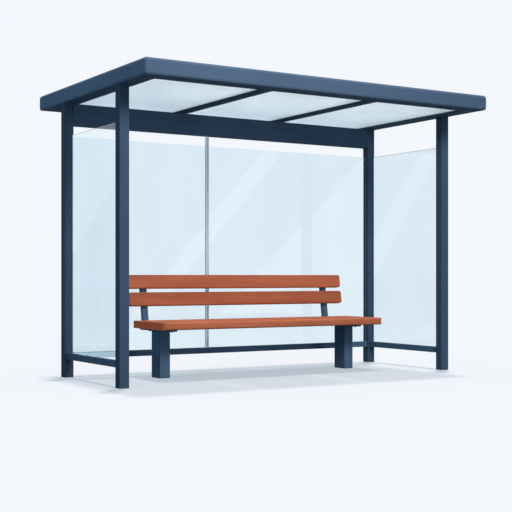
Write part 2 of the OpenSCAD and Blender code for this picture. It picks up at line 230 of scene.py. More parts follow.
class ShelterFittings(bpy.types.PropertyGroup):
    """Sizes of the small fittings"""

    bolt_radius: FloatProperty(
        name="Bolt head", description="Radius of a bench bolt's domed head",
        default=0.0085, min=0.004, max=0.012, unit="LENGTH")
    bolt_height: FloatProperty(
        name="Bolt height", description="Height of that head over its washer",
        default=0.0055, min=0.002, max=0.01, unit="LENGTH")
    washer_radius: FloatProperty(
        name="Washer", description="Radius of the washer under a bolt head",
        default=0.0125, min=0.006, max=0.018, unit="LENGTH")
    washer_thick: FloatProperty(
        name="Washer thickness", description="Thickness of that washer",
        default=0.002, min=0.001, max=0.004, unit="LENGTH")
    bolt_pair: FloatProperty(
        name="Bolt pair", description="Distance between the two bolts of a slat at a support",
        default=0.046, min=0.03, max=0.07, unit="LENGTH")
    screw_radius: FloatProperty(
        name="Screw head", description="Radius of a roof bead screw's head",
        default=0.005, min=0.003, max=0.008, unit="LENGTH")
    screw_height: FloatProperty(
        name="Screw height", description="Height of that head",
        default=0.003, min=0.001, max=0.005, unit="LENGTH")
    screw_step: FloatProperty(
        name="Screw step", description="Greatest distance between the screws of a roof bead",
        default=0.30, min=0.1, max=0.6, unit="LENGTH")
    bead_width: FloatProperty(
        name="Roof bead", description="Width of the bead that the screws go through",
        default=0.022, min=0.012, max=0.03, unit="LENGTH")
    weld_leg: FloatProperty(
        name="Weld", description="Leg of a fillet weld where two tubes meet",
        default=0.005, min=0.003, max=0.008, unit="LENGTH")
    back_lean: FloatProperty(
        name="Back lean", description="Lean of the bench's back from upright",
        default=math.radians(9.0), min=0.0, max=0.4, subtype="ANGLE")
    back_gap: FloatProperty(
        name="Back gap", description="Gap between the seat's rear edge and the plane of the back",
        default=0.021, min=0.0, max=0.05, unit="LENGTH")


class ShelterStage(bpy.types.PropertyGroup):
    """Camera, lamps and floor"""

    camera_place: FloatVectorProperty(
        name="Camera", description="Place of the camera", size=3,
        default=(-5.067, -8.061, 0.830), subtype="XYZ", unit="LENGTH")
    camera_turn: FloatProperty(
        name="Camera turn", description="Turn of the level camera from straight at the front",
        default=math.radians(31.81), subtype="ANGLE")
    focal_pixels: FloatProperty(
        name="Focal length", description="Focal length in pixels of the picture", default=1107.4)
    horizon: FloatProperty(
        name="Horizon", description="Pixels from the picture's upper edge to the horizon", default=276.7)
    backdrop: FloatVectorProperty(
        name="Backdrop", description="Colour of the floor and the background",
        subtype="COLOR", size=3, min=0.0, max=1.0, default=linear(244, 247, 253))
    overhead: FloatProperty(
        name="Overhead", description="Light from above on a level face, where 1 shows a colour as written",
        default=0.80, min=0.0, max=2.0)
    key: FloatProperty(
        name="Key", description="Power of the large lamp in front, in watts", default=205.0, min=0.0)
    ambient: FloatVectorProperty(
        name="Ambient", description="Light from all round, where 1 shows a colour as written",
        subtype="COLOR", size=3, min=0.0, max=1.0, default=(0.225, 0.315, 0.365))
    floor_glow: FloatVectorProperty(
        name="Floor glow", description="Shares of the floor's colour that no shadow takes away",
        subtype="COLOR", size=3, min=0.0, max=1.0, default=(0.475, 0.52, 0.55))
    fill: FloatProperty(
        name="Low fill", description="Power of the low lamp that reaches the bench, in watts",
        default=6.5, min=0.0)
    side: FloatProperty(
        name="Side", description="Power of the lamp on the left that only the roof ring takes, in watts",
        default=96.0, min=0.0)
    low_side: FloatProperty(
        name="Low side", description="Power of the lamp on the left that only the bench takes, in watts",
        default=58.0, min=0.0)
    bar_side: FloatProperty(
        name="Bar side",
        description="Light on the glazing bar's left face, where 1 shows a colour as written",
        default=1.25, min=0.0, max=2.0)
    far_sides: FloatProperty(
        name="Far sides", description="Light on the back and the right, where 1 shows a colour as written",
        default=0.45, min=0.0, max=2.0)
    streak: FloatProperty(
        name="Streak lamps", description="Brightness of the strip lamps that the glass mirrors",
        default=1.5, min=0.0)


# Shader expressions


class Wire:
    """One output of a node. Arithmetic on it adds Math nodes to its tree."""

    def __init__(self, tree, socket=None):
        self.tree = tree
        self.socket = socket

    def node(self, kind, settings=None, sockets=None, out=0):
        """Adds a node: its settings first, then the values or wires of its sockets."""
        made = self.tree.nodes.new(kind)
        for name, value in (settings or {}).items():
            setattr(made, name, value)
        for key, value in (sockets or {}).items():
            if isinstance(value, Wire):
                self.tree.links.new(value.socket, made.inputs[key])
            else:
                made.inputs[key].default_value = value
        return Wire(self.tree, made.outputs[out] if made.outputs else None)

    def math(self, operation, *values):
        return self.node("ShaderNodeMath", {"operation": operation}, dict(enumerate(values)))

    def __add__(self, other):
        return self.math("ADD", self, other)

    def __sub__(self, other):
        return self.math("SUBTRACT", self, other)

    def __rsub__(self, other):
        return self.math("SUBTRACT", other, self)

    def __mul__(self, other):
        return self.math("MULTIPLY", self, other)

    def __abs__(self):
        return self.math("ABSOLUTE", self)

    __radd__ = __add__
    __rmul__ = __mul__

    def least(self, other):
        return self.math("MINIMUM", self, other)

    def most(self, other):
        return self.math("MAXIMUM", self, other)

    def whole(self):
        return self.math("FLOOR", self)

    def rise(self, low, high):
        """0 up to low and 1 from high, smooth between them."""
        sockets = {"Value": self, "From Min": low, "From Max": high}
        return self.node("ShaderNodeMapRange", {"interpolation_type": "SMOOTHSTEP"}, sockets)

    def mix(self, first, second):
        """The first colour where this is 0, the second where it is 1."""
        return self.node("ShaderNodeMix", {"data_type": "RGBA"}, {0: self, 6: first, 7: second}, 2)

    def noise(self, scale, detail=2.0, rough=0.5, stretch=None):
        """Noise at this place, with its grain pulled out where stretch is below 1."""
        place = self
        if stretch:
            place = self.node("ShaderNodeMapping", {}, {"Vector": self, "Scale": stretch})
        sockets = {"Vector": place, "Scale": scale, "Detail": detail, "Roughness": rough}
        return self.node("ShaderNodeTexNoise", {}, sockets)

    def parts(self):
        """The three parts of this vector."""
        return [self.node("ShaderNodeSeparateXYZ", {}, {0: self}, axis) for axis in "XYZ"]

    def bump(self, strength, distance):
        """A normal that follows this height."""
        sockets = {"Strength": strength, "Distance": distance, "Height": self}
        return self.node("ShaderNodeBump", {}, sockets)


class Finish:
    """A new material with the wires that most finishes start from."""

    def __init__(self, name):
        self.material = bpy.data.materials.new(name)
        self.material.use_nodes = True
        self.material.node_tree.nodes.clear()
        self.start = Wire(self.material.node_tree)
        self.place = self.start.node("ShaderNodeTexCoord", out="Object")
        self.x, self.y, self.z = self.place.parts()

    def facing(self):
        """The three parts of the surface's own normal."""
        return self.start.node("ShaderNodeNewGeometry", out="Normal").parts()

    def principled(self, sockets):
        return self.start.node("ShaderNodeBsdfPrincipled", {}, sockets)

    def done(self, shader):
        self.start.node("ShaderNodeOutputMaterial", {}, {"Surface": shader})
        return self.material

    def lets_lamps_through(self, shader, tint):
        """Puts a tinted clear stand-in for the shader where light itself crosses the sheet."""
        shadow, diffuse, glossy, through = [
            self.start.node("ShaderNodeLightPath", out="Is " + kind + " Ray")
            for kind in ("Shadow", "Diffuse", "Glossy", "Transmission")]
        crossings = self.start.node("ShaderNodeLightPath", out="Transmission Depth")
        inside = crossings.math("MODULO", crossings, 2.0)
        mirrored = (glossy - through) * (1 - inside)
        light = shadow.most(diffuse).most(mirrored)
        clear = self.start.node("ShaderNodeBsdfTransparent", {}, {"Color": tint})
        return self.start.node("ShaderNodeMixShader", {}, {0: light, 1: shader, 2: clear})


def dress(names, material):
    """Gives the CAD nodes of these names a material, and stops if one isn't there."""
    for name in names:
        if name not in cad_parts:
            raise RuntimeError("The packed frame has no node " + name)
        mesh_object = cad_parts[name]
        if not mesh_object.material_slots:
            mesh_object.data.materials.append(material)
        for slot in mesh_object.material_slots:
            slot.link = "OBJECT"
            slot.material = material


def nodes(names):
    """The CAD nodes of these names."""
    return [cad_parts[name] for name in names]


def middle(name):
    """The middle of a node's box."""
    low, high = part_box(name)
    return (low + high) / 2


# Finishes


def rubbed(distance, half):
    """1 next to the faces that lie half a width from a tube's middle."""
    return distance.rise(half - RUB_START, half - RUB_FULL)


def post_edges(finish):
    """1 on the rounded edges of the four posts."""
    low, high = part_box("post_front_left")
    half = (high.x - low.x) / 2
    front, back = middle("post_front_left").y, middle("post_back_left").y
    across = abs(abs(finish.x) - middle("post_front_right").x)
    along = abs(abs(finish.y - (front + back) / 2) - (back - front) / 2)
    return rubbed(across, half) * rubbed(along, half)


def ring_edges(finish):
    """1 on the rounded outer edges of the roof ring."""
    out_x = CAD_HIGH.x - abs(finish.x)
    out_y = CAD_HIGH.y - abs(finish.y)
    low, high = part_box("fascia_front")
    level = (finish.z - low.z).least(high.z - finish.z)
    return (1 - out_x.least(out_y).rise(*RING_RUB)) * (1 - level.rise(*RING_RUB))


def ring_mitres(finish):
    """1 along the thin joint lines at the corners of the roof ring."""
    off = abs(abs(finish.x) - abs(finish.y) - (CAD_HIGH.x - CAD_HIGH.y))
    return 1 - off.rise(*MITRE_LINE)


def pedestal_edges(finish):
    """1 on the upright edges of the two bench pedestals."""
    low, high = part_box("bench_pedestal_right")
    half_x, half_y = (high.x - low.x) / 2, (high.y - low.y) / 2
    across = abs(abs(finish.x) - (low.x + high.x) / 2)
    along = abs(finish.y - (low.y + high.y) / 2)
    return rubbed(across, half_x) * rubbed(along, half_y)


def coat(name, colour, dust, edges=None, lines=None):
    """Satin powder coat with orange peel, broad tone, dust, rubbed edges and joint lines."""
    finish = Finish(name)
    up = finish.facing()[2]
    cloud = finish.place.noise(1.6, 3.0)
    peel = finish.place.noise(330.0, 2.0)
    scuff = finish.place.noise(52.0, 6.0, 0.7)
    run = finish.place.noise(14.0, 4.0, 0.6, (1.0, 1.0, 0.1))
    base = cloud.rise(0.3, 0.7).mix(shade(colour, 0.94), shade(colour, 1.05))
    base = (run.rise(0.5, 0.75) * 0.25).mix(base, shade(colour, 0.82))
    settled = up.rise(0.4, 0.95) * (0.10 + 0.30 * cloud)
    splash = (1 - finish.z.rise(0.0, SPLASH_HEIGHT)) * scuff.rise(0.42, 0.70) * 0.20
    grime = settled + splash
    base = grime.mix(base, shade(dust, 1.0))
    rough = 0.40 + 0.12 * cloud + 0.3 * grime
    height = peel
    if edges:
        worn = edges(finish) * scuff.rise(0.46, 0.60)
        base = (worn * 0.55).mix(base, shade(colour, 1.9))
        rough = rough - 0.08 * worn
    if lines:
        joint = lines(finish)
        base = (joint * 0.8).mix(base, shade(colour, 0.25))
        height = height - 6 * joint
    return finish.done(finish.principled({
        "Base Color": base,
        "Roughness": rough,
        "IOR": 1.12,
        "Normal": height.bump(0.25, 0.0004),
    }))


def oiled_timber(name, colour, board_low, board_width):
    """Oiled hardwood with grain along the shelter, pores and boards of their own tone, with painted light
    on the end faces and the upper faces.
    """
    finish = Finish(name)
    along, _, up = finish.facing()
    ends = abs(along)
    board = ((finish.y - board_low) * (1.0 / board_width)).whole()
    steps = {0: board * 3.7, 1: board * 1.9, 2: board * 0.6}
    shift = finish.start.node("ShaderNodeCombineXYZ", {}, steps)
    place = finish.start.node("ShaderNodeVectorMath", {"operation": "ADD"}, {0: finish.place, 1: shift})
    figure = place.noise(9.0, 4.0, 0.55, (0.16, 1.6, 1.6))
    fibre = place.noise(120.0, 4.0, 0.65, (0.05, 1.0, 1.0))
    pores = place.noise(300.0, 2.0, 0.5, (0.035, 1.0, 1.0)).rise(0.60, 0.70)
    tone = place.noise(0.7, 1.0)
    base = figure.rise(0.34, 0.66).mix(shade(colour, 0.86), shade(colour, 1.12))
    base = (fibre.rise(0.35, 0.75) * 0.35).mix(base, shade(colour, 0.70))
    base = (tone.rise(0.35, 0.65) * 0.25).mix(base, tinted(colour, (1.08, 1.22, 1.3)))
    base = (pores * 0.45).mix(base, shade(colour, 0.42))
    # End faces painted lighter and redder: painted light
    base = (ends.rise(0.7, 0.95) * 0.8).mix(base, tinted(colour, (1.9, 1.15, 0.9)))
    # Upper faces painted lighter: painted light from above
    base = (up.rise(0.7, 0.95) * 0.8).mix(base, tinted(colour, (1.22, 1.2, 1.05)))
    rough = 0.42 + 0.16 * fibre + 0.10 * pores
    height = fibre * 0.5 + figure * 0.3 - pores * 0.6
    return finish.done(finish.principled({
        "Base Color": base,
        "Roughness": rough,
        "IOR": 1.2,
        "Normal": height.bump(0.35, 0.0006),
    }))


def clear_glass(name, tint, edge_tint, top_share=1.0):
    """Toughened glass with a faint tint, denser polished edges and a film low down that roughens it and
    lightens its tint.

    top_share is how much light the fine line along the top edge lets through.
    """
    finish = Finish(name)
    up = abs(finish.facing()[2])
    smear = finish.place.noise(3.0, 4.0, 0.6, (1.0, 1.0, 0.35))
    base = smear.rise(0.3, 0.7).mix(shade(tint, 0.985), shade(tint, 1.01))
    film = (1 - finish.z.rise(*GLASS_FILM)) * smear
    # Lighter tint towards the bottom, where the film also roughens the glass
    base = (film * 0.6).mix(base, shade(tint, 1.12))
    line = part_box(PANES[0])[1].z - TOP_LINE
    top = finish.z.rise(line - TOP_LINE_BLUR, line + TOP_LINE_BLUR)
    base = top.mix(base, shade(tint, top_share))
    base = up.rise(0.5, 0.9).mix(base, shade(edge_tint, 1.0))
    shader = finish.principled({
        "Base Color": base,
        "Roughness": 0.012 + 0.02 * film,
        "Transmission Weight": 1.0,
        "IOR": 1.3,
    })
    crossed = (*[math.sqrt(part) for part in tint], 1.0)
    return finish.done(finish.lets_lamps_through(shader, crossed))


def opal_sheet(name, tint, dust):
    """Opal sheet that scatters the light from above, darker in strips along its front and back, and darker
    and bluer towards the back as painted shade.
    """
    finish = Finish(name)
    mottle = finish.place.noise(2.4, 4.0, 0.6)
    grain = finish.place.noise(240.0, 2.0)
    low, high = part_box("roof_panel_middle")
    back = finish.y.rise(low.y, high.y)
    rim = 1 - (finish.y - low.y).least(high.y - finish.y).rise(0.0, PANEL_RIM_WIDTH)
    base = mottle.rise(0.3, 0.7).mix(shade(tint, 0.96), shade(tint, 1.03))
    # Darker and bluer towards the back: painted shade
    base = (back * 0.6).mix(base, (tint[0] * 0.78, tint[1] * 0.95, tint[2] * 1.05, 1.0))
    # Darker strips along the front and back edges, mixed towards the dust colour
    base = (rim * mottle * 0.25).mix(base, shade(dust, 1.0))
    shader = finish.principled({
        "Base Color": base,
        "Roughness": 0.50 + 0.1 * mottle,
        "Transmission Weight": 0.825,
        "IOR": 1.25,
        "Normal": grain.bump(0.1, 0.0003),
    })
    return finish.done(finish.lets_lamps_through(shader, OPAL_LAMP_TINT))


def anodised_bar(name, colour):
    """Satin anodised aluminium with fine draw lines along the bar."""
    finish = Finish(name)
    draw = finish.place.noise(700.0, 3.0, 0.6, (1.0, 1.0, 0.01))
    cloud = finish.place.noise(4.0, 2.0)
    base = draw.rise(0.3, 0.7).mix(shade(colour, 0.88), shade(colour, 1.08))
    return finish.done(finish.principled({
        "Base Color": base,
        "Metallic": 0.4,
        "Roughness": 0.34 + 0.10 * draw + 0.06 * cloud,
        "Normal": draw.bump(0.15, 0.0002),
    }))


def glazing_rubber(name, colour, dust):
    """Matt glazing rubber, slightly grey with dust."""
    finish = Finish(name)
    speck = finish.place.noise(420.0, 3.0, 0.6)
    cloud = finish.place.noise(18.0, 3.0)
    base = speck.rise(0.3, 0.7).mix(shade(colour, 0.85), shade(colour, 1.12))
    base = (cloud.rise(0.45, 0.75) * 0.18).mix(base, shade(dust, 0.8))
    return finish.done(finish.principled({
        "Base Color": base,
        "Roughness": 0.72 + 0.12 * cloud,
        "Specular IOR Level": 0.30,
        "Normal": speck.bump(0.2, 0.0003),
    }))


def zinc_fixing(name):
    """Passivated steel of screws, with turning marks and dull patches."""
    finish = Finish(name)
    marks = finish.place.noise(900.0, 2.0)
    dull = finish.place.noise(150.0, 3.0)
    base = marks.rise(0.3, 0.7).mix(DARK_ZINC, PALE_ZINC)
    return finish.done(finish.principled({
        "Base Color": base,
        "Metallic": 0.9,
        "Roughness": 0.30 + 0.25 * dull,
        "Normal": marks.bump(0.1, 0.0001),
    }))


# Modelling


def deselect():
    bpy.ops.object.select_all(action="DESELECT")


def pick_faces(piece, test):
    """Selects the faces whose middle and normal pass the test, in edit mode."""
    bpy.ops.mesh.select_mode(type="FACE")
    bpy.ops.mesh.select_all(action="DESELECT")
    shape = bmesh.from_edit_mesh(piece.data)
    for face in shape.faces:
        face.select_set(test(face.calc_center_median(), face.normal))
    bmesh.update_edit_mesh(piece.data)


def pick_edges(piece, test):
    """Selects the edges whose two ends pass the test, in edit mode."""
    bpy.ops.mesh.select_mode(type="EDGE")
    bpy.ops.mesh.select_all(action="DESELECT")
    shape = bmesh.from_edit_mesh(piece.data)
    for edge in shape.edges:
        edge.select_set(test(edge.verts[0].co, edge.verts[1].co))
    bmesh.update_edit_mesh(piece.data)


def model_bolt(name, washer_radius, washer_thick, head_radius, head_height):
    """A domed security head with a pin in its round recess, on its washer, up from the origin."""
    deselect()
    bpy.ops.mesh.primitive_cylinder_add(
        vertices=24, radius=washer_radius, depth=washer_thick, location=(0, 0, washer_thick / 2))
    bolt = bpy.context.object
    bolt.name = name
    bolt.data.transform(bolt.matrix_world)
    bolt.matrix_world = Matrix.Identity(4)
    near = 1e-5
    top = washer_thick + head_height
    chamfer = washer_thick * 0.35
    dome = head_height * 0.85
    flat = head_radius - dome
    rim = flat * 0.25
    recess = head_height * 0.5
    ditch = flat * 0.45
    pin = head_height * 0.3
    bpy.ops.object.mode_set(mode="EDIT")
    pick_edges(bolt, lambda a, b: min(a.z, b.z) > washer_thick * 0.9)
    bpy.ops.mesh.bevel(offset=chamfer, segments=2, affect="EDGES")
    pick_faces(bolt, lambda at, normal: normal.z > 0.99)
    bpy.ops.mesh.inset(thickness=washer_radius - chamfer - head_radius)
    bpy.ops.mesh.extrude_region_move(TRANSFORM_OT_translate={"value": (0, 0, head_height)})
    pick_edges(bolt, lambda a, b: min(a.z, b.z) > top - near)
    bpy.ops.mesh.bevel(offset=dome, segments=5, affect="EDGES")
    pick_faces(bolt, lambda at, normal: normal.z > 0.99 and at.z > top - near)
    bpy.ops.mesh.inset(thickness=rim)
    bpy.ops.mesh.extrude_region_move(TRANSFORM_OT_translate={"value": (0, 0, -recess)})
    bpy.ops.mesh.inset(thickness=ditch)
    bpy.ops.mesh.extrude_region_move(TRANSFORM_OT_translate={"value": (0, 0, pin)})
    bpy.ops.object.mode_set(mode="OBJECT")
    bpy.ops.object.shade_smooth_by_angle(angle=BOLT_SMOOTH)
    return bolt


def set_out(model, places, material):
    """Copies the model to each place, each copy with its own mesh, and removes the model."""
    copies = []
    for place in places:
        piece = model.copy()
        piece.data = model.data.copy()
        piece.data.transform(place)
        piece.data.materials.clear()
        piece.data.materials.append(material)
        bpy.context.scene.collection.objects.link(piece)
        copies.append(piece)
    bpy.data.objects.remove(model)
    return copies


def join(pieces, name):
    """Makes one named piece of these and lets it ride on the frame."""
    deselect()
    for piece in pieces:
        piece.select_set(True)
    bpy.context.view_layer.objects.active = pieces[0]
    if len(pieces) > 1:
        bpy.ops.object.join()
    pieces[0].name = name
    pieces[0].data.name = name
    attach(pieces[0], BODY)
    return pieces[0]


def back_frame(fittings):
    """Turns the upright frame of the bench's back into its lean, behind the seat's rear edge."""
    seat_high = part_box("bench_seat")[1]
    foot = Vector((0, seat_high.y + fittings.back_gap, seat_high.z))
    return Matrix.Translation(foot) @ Matrix.Rotation(-fittings.back_lean, 4, "X")


def weld_line(length, leg):
    """A rounded fillet along X in the corner between the faces Y = 0 and Z = 0."""
    hollow = leg * 0.85
    taper = leg * 0.4
    ripple_height = leg * 0.25
    deselect()
    bpy.ops.mesh.primitive_cube_add(size=1.0)
    weld = bpy.context.object
    weld.data.transform(Matrix.Diagonal((length, leg, leg, 1.0)))
    weld.data.transform(Matrix.Translation((0, leg / 2, leg / 2)))
    bpy.ops.object.mode_set(mode="EDIT")
    pick_edges(weld, lambda a, b: min(a.y, b.y, a.z, b.z) > leg * 0.9)
    bpy.ops.mesh.bevel(offset=hollow, segments=3, affect="EDGES")
    pick_faces(weld, lambda at, normal: abs(normal.x) > 0.9)
    bpy.ops.mesh.bevel(offset=taper, segments=2, affect="EDGES")
    pick_edges(weld, lambda a, b: abs(a.x - b.x) > length * 0.5)
    bpy.ops.mesh.subdivide(number_cuts=max(2, round(length / leg)))
    bpy.ops.object.mode_set(mode="OBJECT")
    ripple = bpy.data.textures.new("weld_ripple", "CLOUDS")
    ripple.noise_scale = leg
    wave = weld.modifiers.new("ripple", "DISPLACE")
    wave.texture = ripple
    wave.texture_coords = "LOCAL"
    wave.strength = ripple_height
    wave.mid_level = 0.5
    bpy.ops.object.modifier_apply(modifier=wave.name)
    bpy.data.textures.remove(ripple)
    bpy.ops.object.shade_smooth_by_angle(angle=WELD_SMOOTH)
    return weld


def corner(place, along, first, second):
    """The matrix that takes X, Y and Z to these three directions at a place."""
    turn = Matrix((along, first, second)).transposed().to_4x4()
    return Matrix.Translation(place) @ turn


# Operators


class SHELTER_OT_frame_paint(bpy.types.Operator):
    """Coats posts, header, rails, the roof ring, rafters and beads"""

    bl_idname = "shelter.frame_paint"
    bl_label = "Frame paint"

    def execute(self, context):
        finish = context.scene.shelter_finish
        # Posts take a darker copy of the frame paint: painted shade
        dress(POSTS, coat("post_coat_painted_shade", shade(finish.paint, POST_SHADE_TONE), finish.dust, post_edges))
        # The header takes a lighter copy of the frame paint: painted light
        dress(("header_back",), coat("header_coat_painted_light", shade(finish.paint, HEADER_LIGHT_TONE), finish.dust))
        # The rails take a lighter copy of the frame paint: painted light
        dress(RAILS, coat("rail_coat_painted_light", shade(finish.paint, RAIL_LIGHT_TONE), finish.dust))
        # The ring's lighter paint is painted light
        dress(FASCIAS, coat("ring_coat", finish.ring_paint_lit, finish.dust, ring_edges, ring_mitres))
        dress((*RAFTERS, *BEADS), coat("rafter_coat", finish.paint, finish.dust))
        return {"FINISHED"}


class SHELTER_OT_glazing(bpy.types.Operator):
    """Gives the walls their glass, gaskets and glazing bar"""

    bl_idname = "shelter.glazing"
    bl_label = "Glass walls"

    def execute(self, context):
        finish = context.scene.shelter_finish
        edge = finish.glass_edge
        dress(LEFT_PANE, clear_glass("left_end_glass", finish.end_glass, edge, TOP_LINE_SHARE))
        dress(RIGHT_PANE, clear_glass("right_end_glass", finish.glass, edge, TOP_LINE_SHARE))
        dress(BACK_PANES, clear_glass("back_glass", finish.glass, edge))
        dress(GASKETS, glazing_rubber("glazing_rubber", finish.rubber, finish.dust))
        # The rubber beside the glazing bar takes a lighter copy of the rubber: painted light on the bar's
        # side
        pale = shade(finish.rubber, BAR_GASKET_LIGHT_TONE)
        dress((BAR_GASKET,), glazing_rubber("bar_rubber_painted_light", pale, finish.dust))
        dress(("glazing_bar",), anodised_bar("anodised_bar", finish.anodised))
        return {"FINISHED"}


class SHELTER_OT_roof_panels(bpy.types.Operator):
    """Gives the roof its opal panels"""

    bl_idname = "shelter.roof_panels"
    bl_label = "Roof panels"

    def execute(self, context):
        finish = context.scene.shelter_finish
        dress(PANELS, opal_sheet("opal_sheet", finish.opal, finish.dust))
        return {"FINISHED"}


class SHELTER_OT_bench(bpy.types.Operator):
    """Gives the bench its timber and its coated metal"""

    bl_idname = "shelter.bench"
    bl_label = "Bench"

    def execute(self, context):
        finish = context.scene.shelter_finish
        seat_low, seat_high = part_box("bench_seat")
        board = (seat_high.y - seat_low.y) / SEAT_BOARDS
        dress(("bench_seat",), oiled_timber("seat_timber", finish.timber, seat_low.y, board))
        lower, upper = SLATS
        # The lower slat takes a darker copy of the timber: painted shade
        shaded_timber = shade(finish.timber, LOWER_SLAT_SHADE_TONE)
        dress((lower,), oiled_timber("lower_slat_timber_painted_shade", shaded_timber, seat_low.y, ONE_BOARD))
        dress((upper,), oiled_timber("upper_slat_timber", finish.timber, seat_low.y, ONE_BOARD))
        # Bench metal takes the lighter bench paint: painted light
        dress((*PEDESTALS, *ARMS), coat("pedestal_coat", finish.bench_paint, finish.dust, pedestal_edges))
        dress(SUPPORTS, coat("support_coat", finish.bench_paint, finish.dust))
        return {"FINISHED"}


class SHELTER_OT_bench_bolts(bpy.types.Operator):
    """Bolts through the supports into the slats, and through the arms into the seat"""

    bl_idname = "shelter.bench_bolts"
    bl_label = "Bench bolts"

    def execute(self, context):
        finish = context.scene.shelter_finish
        fittings = context.scene.shelter_fittings
        steel = coat("bolt_coat", finish.bench_paint, finish.dust)
        back = back_frame(fittings)
        rear = Matrix.Rotation(math.radians(-90), 4, "X")
        flat = back.inverted()
        for side, support in zip(SIDES, SUPPORTS):
            points = [flat @ vertex.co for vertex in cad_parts[support].data.vertices]
            rear_y = max(point.y for point in points)
            places = []
            for slat in SLATS:
                heights = [(flat @ vertex.co).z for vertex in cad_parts[slat].data.vertices]
                level = (min(heights) + max(heights)) / 2
                for step in (-0.5, 0.5):
                    at = Vector((middle(support).x, rear_y, level + step * fittings.bolt_pair))
                    places.append(back @ Matrix.Translation(at) @ rear)
            bolt = model_bolt("slat_bolt", fittings.washer_radius, fittings.washer_thick,
                              fittings.bolt_radius, fittings.bolt_height)
            join(set_out(bolt, places, steel), "slat_bolts_" + side)
        down = Matrix.Rotation(math.radians(180), 4, "X")
        for side, arm, pedestal in zip(SIDES, ARMS, PEDESTALS):
            low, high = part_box(arm)
            stand_low, stand_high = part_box(pedestal)
            places = []
            for y in ((low.y + stand_low.y) / 2, stand_high.y + (stand_low.y - low.y) / 2):
                for step in (-ARM_BOLTS, ARM_BOLTS):
                    x = (low.x + high.x) / 2 + step * (high.x - low.x) / 2
                    places.append(Matrix.Translation((x, y, low.z)) @ down)
            bolt = model_bolt("seat_bolt", fittings.washer_radius, fittings.washer_thick,
                              fittings.bolt_radius, fittings.bolt_height)
            join(set_out(bolt, places, steel), "seat_bolts_" + side)
        return {"FINISHED"}


class SHELTER_OT_bead_screws(bpy.types.Operator):
    """Screws through the beads that hold the roof panels down"""

    bl_idname = "shelter.bead_screws"
    bl_label = "Roof bead screws"

    def execute(self, context):
        fittings = context.scene.shelter_fittings
        steel = zinc_fixing("bead_screw_zinc")
        inset = fittings.bead_width / 2
        for bay, bead in zip(BAYS, BEADS):
            low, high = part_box(bead)
            across = max(2, math.ceil((high.x - low.x) / fittings.screw_step))
            along = max(2, math.ceil((high.y - low.y) / fittings.screw_step))
            spots = []
            for step in range(across):
                x = low.x + (step + 0.5) / across * (high.x - low.x)
                spots += [(x, low.y + inset), (x, high.y - inset)]
            for step in range(along):
                y = low.y + (step + 0.5) / along * (high.y - low.y)
                spots += [(low.x + inset, y), (high.x - inset, y)]
            places = [Matrix.Translation((x, y, high.z)) for x, y in spots]
            screw = model_bolt("bead_screw", fittings.screw_radius * COLLAR_RADIUS,
                               fittings.screw_height * COLLAR_THICK,
                               fittings.screw_radius, fittings.screw_height)
            join(set_out(screw, places, steel), "bead_screws_" + bay)
        return {"FINISHED"}


class SHELTER_OT_welds(bpy.types.Operator):
    """Fillet welds at the tops of the posts and pedestals and at the header's ends"""

    bl_idname = "shelter.welds"
    bl_label = "Welds"

    def execute(self, context):
        finish = context.scene.shelter_finish
        fittings = context.scene.shelter_fittings
        frame_coat = coat("weld_coat", finish.paint, finish.dust)
        bench_coat = coat("bench_weld_coat", finish.bench_paint, finish.dust)
        leg = fittings.weld_leg
        x_way, y_way, z_way = Vector((1, 0, 0)), Vector((0, 1, 0)), Vector((0, 0, 1))
        for name in POSTS:
            low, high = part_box(name)
            lines = self.round_tube(low, high, high.z, -z_way, leg, frame_coat)
            join(lines, name.replace("post", "post_weld"))
        low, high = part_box("header_back")
        lines = []
        for x, way in ((low.x, x_way), (high.x, -x_way)):
            for y, out in ((low.y, -y_way), (high.y, y_way)):
                at = Vector((x, y, (low.z + high.z) / 2))
                weld = weld_line((high.z - low.z) * HEADER_WELD, leg)
                lines += set_out(weld, [corner(at, way.cross(out), way, out)], frame_coat)
        join(lines, "header_welds")
        for side, name in zip(SIDES, PEDESTALS):
            low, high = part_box(name)
            lines = self.round_tube(low, high, high.z, -z_way, leg, bench_coat)
            join(lines, "pedestal_weld_" + side)
        return {"FINISHED"}

    def round_tube(self, low, high, level, way, leg, material):
        """The four lines round an upright tube where it meets a face at that level."""
        x_way, y_way = Vector((1, 0, 0)), Vector((0, 1, 0))
        mid = (low + high) / 2
        lines = []
        for at, out, length in (
            (Vector((low.x, mid.y, level)), -x_way, high.y - low.y),
            (Vector((high.x, mid.y, level)), x_way, high.y - low.y),
            (Vector((mid.x, low.y, level)), -y_way, high.x - low.x),
            (Vector((mid.x, high.y, level)), y_way, high.x - low.x),
        ):
            weld = weld_line(length * TUBE_WELD, leg)
            lines += set_out(weld, [corner(at, way.cross(out), way, out)], material)
        return lines


